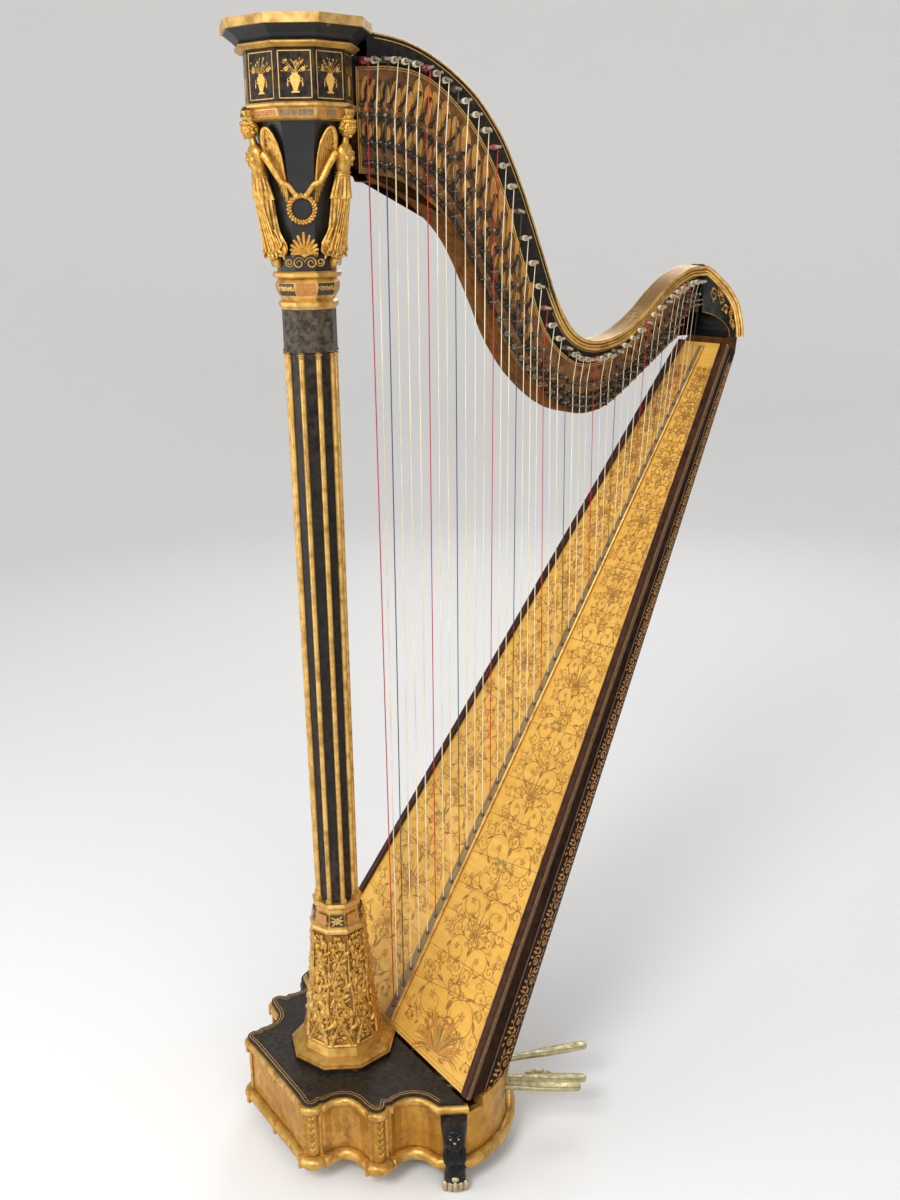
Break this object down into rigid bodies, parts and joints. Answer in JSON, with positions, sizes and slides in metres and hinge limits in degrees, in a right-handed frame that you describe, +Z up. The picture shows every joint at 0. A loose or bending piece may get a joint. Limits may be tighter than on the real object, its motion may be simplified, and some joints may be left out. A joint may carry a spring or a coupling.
{
  "type": "pedal harp",
  "caption": "Concert pedal harp with a nine-sided gilt column, figured capital, curved neck, leaning soundbox, scalloped base and sprung pedals.",
  "frame": {"origin": "on the floor under the middle of the whole harp's box", "axes": "+Z up; +X from the column towards the soundbox and the player; strings hang on the -Y side of the neck"},
  "size_m": [0.9566, 0.5426, 1.73],
  "materials": {
    "gilt": "gold leaf over gesso on wood, worn satin",
    "black_lacquer": "black lacquer with gilt lines",
    "brown_wood": "varnished hardwood",
    "maple": "golden varnish with pen work",
    "dark_moulding": "dark polished moulding",
    "strings": "gut strings on a grey-brown strip",
    "brass": "polished brass",
    "steel": "polished steel"
  },
  "bodies": {
    "harp": {"base_wall": "gilt", "base_lower_moulding": "gilt", "base_upper_moulding": "gilt", "base_rear_cap": "gilt", "base_top_board": "black_lacquer", "base_floor_board": "brown_wood", "front_foot_left": "gilt", "rear_foot_left": "gilt", "front_foot_right": "gilt", "rear_foot_right": "gilt", "column_cove": "gilt", "column_carved_foot": "gilt", "column_ring": "gilt", "column_shaft": "black_lacquer", "column_collar": "black_lacquer", "capital_band": "gilt", "capital_bell": "black_lacquer", "capital_frieze_ring": "gilt", "capital_frieze": "black_lacquer", "capital_cornice": "gilt", "capital_crown": "gilt", "capital_figure_front": "gilt", "capital_figure_left": "gilt", "capital_figure_right": "gilt", "soundbox_back": "brown_wood", "soundboard": "maple", "edge_moulding_left": "dark_moulding", "edge_moulding_right": "dark_moulding", "string_strip": "strings", "neck": "brown_wood", "neck_moulding_left": "gilt", "neck_moulding_right": "gilt", "action_plate_left": "brass", "action_plate_right": "brass", "shoulder": "black_lacquer", "shoulder_collar": "brown_wood"},
    "pedal_d": {"pedal_d": "brass"},
    "rod_d": {"pedal_rod_d": "steel"},
    "disc_d": {"fork_disc_d": "steel"},
    "pedal_c": {"pedal_c": "brass"},
    "rod_c": {"pedal_rod_c": "steel"},
    "disc_c": {"fork_disc_c": "steel"},
    "pedal_b": {"pedal_b": "brass"},
    "rod_b": {"pedal_rod_b": "steel"},
    "disc_b": {"fork_disc_b": "steel"},
    "pedal_e": {"pedal_e": "brass"},
    "rod_e": {"pedal_rod_e": "steel"},
    "disc_e": {"fork_disc_e": "steel"},
    "pedal_f": {"pedal_f": "brass"},
    "rod_f": {"pedal_rod_f": "steel"},
    "disc_f": {"fork_disc_f": "steel"},
    "pedal_g": {"pedal_g": "brass"},
    "rod_g": {"pedal_rod_g": "steel"},
    "disc_g": {"fork_disc_g": "steel"},
    "pedal_a": {"pedal_a": "brass"},
    "rod_a": {"pedal_rod_a": "steel"},
    "disc_a": {"fork_disc_a": "steel"},
    "pin_1": {"tuning_pin_1": "steel"},
    "pin_2": {"tuning_pin_2": "steel"},
    "pin_3": {"tuning_pin_3": "steel"}
  },
  "joints": [
    {"name": "pedal_d_hinge", "type": "hinge", "parent": "harp", "child": "pedal_d", "pos_m": [-0.26139, -0.1119, 0.1], "axis": [0.5793, 0.8151, 0], "range_deg": [0, 11], "stiffness_Nm_per_rad": 6, "springref_deg": -8.59},
    {"name": "rod_d_slide", "type": "slide", "parent": "harp", "child": "rod_d", "axis": [0, 0, 1], "range_m": [0, 0.02601]},
    {"name": "disc_d_hinge", "type": "hinge", "parent": "harp", "child": "disc_d", "pos_m": [-0.01873, 0.00705, 1.32598], "axis": [0, 1, 0], "range_deg": [0, 42]},
    {"name": "pedal_c_hinge", "type": "hinge", "parent": "harp", "child": "pedal_c", "pos_m": [-0.23701, -0.10644, 0.1], "axis": [0.454, 0.891, 0], "range_deg": [-5.5, 5.5]},
    {"name": "rod_c_slide", "type": "slide", "parent": "harp", "child": "rod_c", "axis": [0, 0, 1], "range_m": [-0.0125, 0.0125]},
    {"name": "disc_c_hinge", "type": "hinge", "parent": "harp", "child": "disc_c", "pos_m": [-0.0039, 0.0075, 1.30293], "axis": [0, 1, 0], "range_deg": [-21.1, 21.1]},
    {"name": "pedal_b_hinge", "type": "hinge", "parent": "harp", "child": "pedal_b", "pos_m": [-0.21796, -0.09835, 0.1], "axis": [0.319, 0.9478, 0], "range_deg": [0, 11], "stiffness_Nm_per_rad": 6, "springref_deg": -8.59},
    {"name": "rod_b_slide", "type": "slide", "parent": "harp", "child": "rod_b", "axis": [0, 0, 1], "range_m": [0, 0.02584]},
    {"name": "disc_b_hinge", "type": "hinge", "parent": "harp", "child": "disc_b", "pos_m": [0.01042, 0.00793, 1.282], "axis": [0, 1, 0], "range_deg": [0, 42]},
    {"name": "pedal_e_hinge", "type": "hinge", "parent": "harp", "child": "pedal_e", "pos_m": [-0.20819, 0.02793, 0.1], "axis": [-0.1719, 0.9851, 0], "range_deg": [0, 11], "stiffness_Nm_per_rad": 6, "springref_deg": -8.59},
    {"name": "rod_e_slide", "type": "slide", "parent": "harp", "child": "rod_e", "axis": [0, 0, 1], "range_m": [0, 0.02324]},
    {"name": "disc_e_hinge", "type": "hinge", "parent": "harp", "child": "disc_e", "pos_m": [0.02419, 0.00834, 1.26349], "axis": [0, 1, 0], "range_deg": [0, 42]},
    {"name": "pedal_f_hinge", "type": "hinge", "parent": "harp", "child": "pedal_f", "pos_m": [-0.21796, 0.09835, 0.1], "axis": [-0.319, 0.9478, 0], "range_deg": [0, 11], "stiffness_Nm_per_rad": 6, "springref_deg": -8.59},
    {"name": "rod_f_slide", "type": "slide", "parent": "harp", "child": "rod_f", "axis": [0, 0, 1], "range_m": [0, 0.02584]},
    {"name": "disc_f_hinge", "type": "hinge", "parent": "harp", "child": "disc_f", "pos_m": [0.03771, 0.00874, 1.24674], "axis": [0, 1, 0], "range_deg": [0, 42]},
    {"name": "pedal_g_hinge", "type": "hinge", "parent": "harp", "child": "pedal_g", "pos_m": [-0.23701, 0.10644, 0.1], "axis": [-0.454, 0.891, 0], "range_deg": [0, 11], "stiffness_Nm_per_rad": 6, "springref_deg": -8.59},
    {"name": "rod_g_slide", "type": "slide", "parent": "harp", "child": "rod_g", "axis": [0, 0, 1], "range_m": [0, 0.02576]},
    {"name": "disc_g_hinge", "type": "hinge", "parent": "harp", "child": "disc_g", "pos_m": [0.05072, 0.00914, 1.23211], "axis": [0, 1, 0], "range_deg": [0, 42]},
    {"name": "pedal_a_hinge", "type": "hinge", "parent": "harp", "child": "pedal_a", "pos_m": [-0.26139, 0.1119, 0.1], "axis": [-0.5793, 0.8151, 0], "range_deg": [0, 11], "stiffness_Nm_per_rad": 6, "springref_deg": -8.59},
    {"name": "rod_a_slide", "type": "slide", "parent": "harp", "child": "rod_a", "axis": [0, 0, 1], "range_m": [0, 0.02601]},
    {"name": "disc_a_hinge", "type": "hinge", "parent": "harp", "child": "disc_a", "pos_m": [0.06346, 0.00952, 1.21877], "axis": [0, 1, 0], "range_deg": [0, 42]},
    {"name": "tuning_pin_1_turn", "type": "hinge", "parent": "harp", "child": "pin_1", "pos_m": [-0.25127, 0.00038, 1.685], "axis": [0, 1, 0], "continuous": true},
    {"name": "tuning_pin_2_turn", "type": "hinge", "parent": "harp", "child": "pin_2", "pos_m": [-0.23512, 0.00086, 1.68641], "axis": [0, 1, 0], "continuous": true},
    {"name": "tuning_pin_3_turn", "type": "hinge", "parent": "harp", "child": "pin_3", "pos_m": [-0.21898, 0.00134, 1.68782], "axis": [0, 1, 0], "continuous": true}
  ],
  "couplings": [
    {"joint": "rod_d_slide", "follows": "pedal_d_hinge", "m_per_rad": 0.1328},
    {"joint": "disc_d_hinge", "follows": "pedal_d_hinge", "ratio": 3.8},
    {"joint": "rod_c_slide", "follows": "pedal_c_hinge", "m_per_rad": 0.12771},
    {"joint": "disc_c_hinge", "follows": "pedal_c_hinge", "ratio": 3.8},
    {"joint": "rod_b_slide", "follows": "pedal_b_hinge", "m_per_rad": 0.13197},
    {"joint": "disc_b_hinge", "follows": "pedal_b_hinge", "ratio": 3.8},
    {"joint": "rod_e_slide", "follows": "pedal_e_hinge", "m_per_rad": 0.11867},
    {"joint": "disc_e_hinge", "follows": "pedal_e_hinge", "ratio": 3.8},
    {"joint": "rod_f_slide", "follows": "pedal_f_hinge", "m_per_rad": 0.13197},
    {"joint": "disc_f_hinge", "follows": "pedal_f_hinge", "ratio": 3.8},
    {"joint": "rod_g_slide", "follows": "pedal_g_hinge", "m_per_rad": 0.13154},
    {"joint": "disc_g_hinge", "follows": "pedal_g_hinge", "ratio": 3.8},
    {"joint": "rod_a_slide", "follows": "pedal_a_hinge", "m_per_rad": 0.1328},
    {"joint": "disc_a_hinge", "follows": "pedal_a_hinge", "ratio": 3.8}
  ]
}
